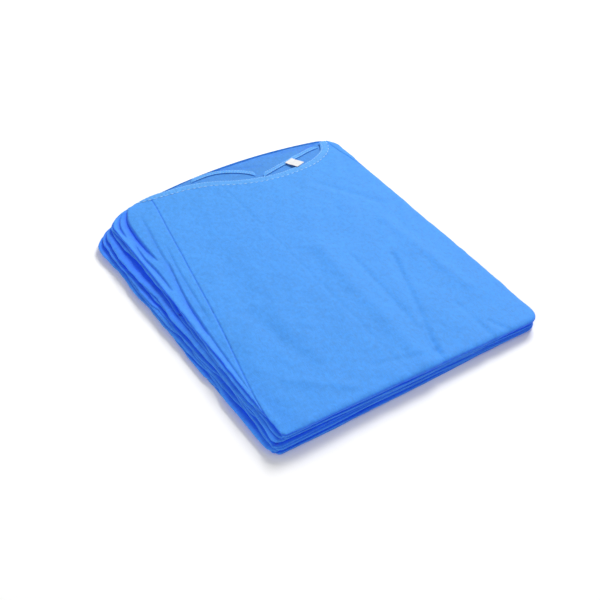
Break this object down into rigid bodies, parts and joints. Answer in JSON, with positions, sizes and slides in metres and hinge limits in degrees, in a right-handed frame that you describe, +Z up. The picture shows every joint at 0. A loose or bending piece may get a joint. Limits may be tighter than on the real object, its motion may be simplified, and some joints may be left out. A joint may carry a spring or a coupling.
{
  "type": "folded surgical gown",
  "caption": "Disposable non-woven surgical gown folded flat into a rectangle, with the chest and the scooped neck on top, raglan sleeve seams and the layers showing along its edges.",
  "frame": {"origin": "middle of the flat underside that the folded gown rests on", "axes": "+Z up through the fold, +Y towards the neck, +X towards the wearer's left arm"},
  "size_m": [0.3702, 0.4454, 0.0274],
  "materials": {
    "folded_layers": "matt non-woven cloth, hidden layers of the fold",
    "front_panel": "matt light-blue non-woven cloth",
    "left_sleeve": "matt light-blue non-woven cloth",
    "right_sleeve": "matt light-blue non-woven cloth",
    "back_panel_upper": "matt light-blue non-woven cloth, inside face",
    "back_panel_lower": "matt light-blue non-woven cloth, inside face",
    "neck_binding_front": "folded strip of the same cloth, sewn on",
    "neck_binding_back_upper": "folded strip of the same cloth, sewn on",
    "neck_binding_back_lower": "folded strip of the same cloth, sewn on",
    "size_label": "blank white woven tab"
  },
  "bodies": {
    "root": {"folded_layers": "folded_layers", "front_panel": "front_panel", "left_sleeve": "left_sleeve", "right_sleeve": "right_sleeve", "back_panel_upper": "back_panel_upper", "back_panel_lower": "back_panel_lower", "neck_binding_front": "neck_binding_front", "neck_binding_back_upper": "neck_binding_back_upper", "neck_binding_back_lower": "neck_binding_back_lower", "size_label": "size_label"}
  },
  "joints": []
}
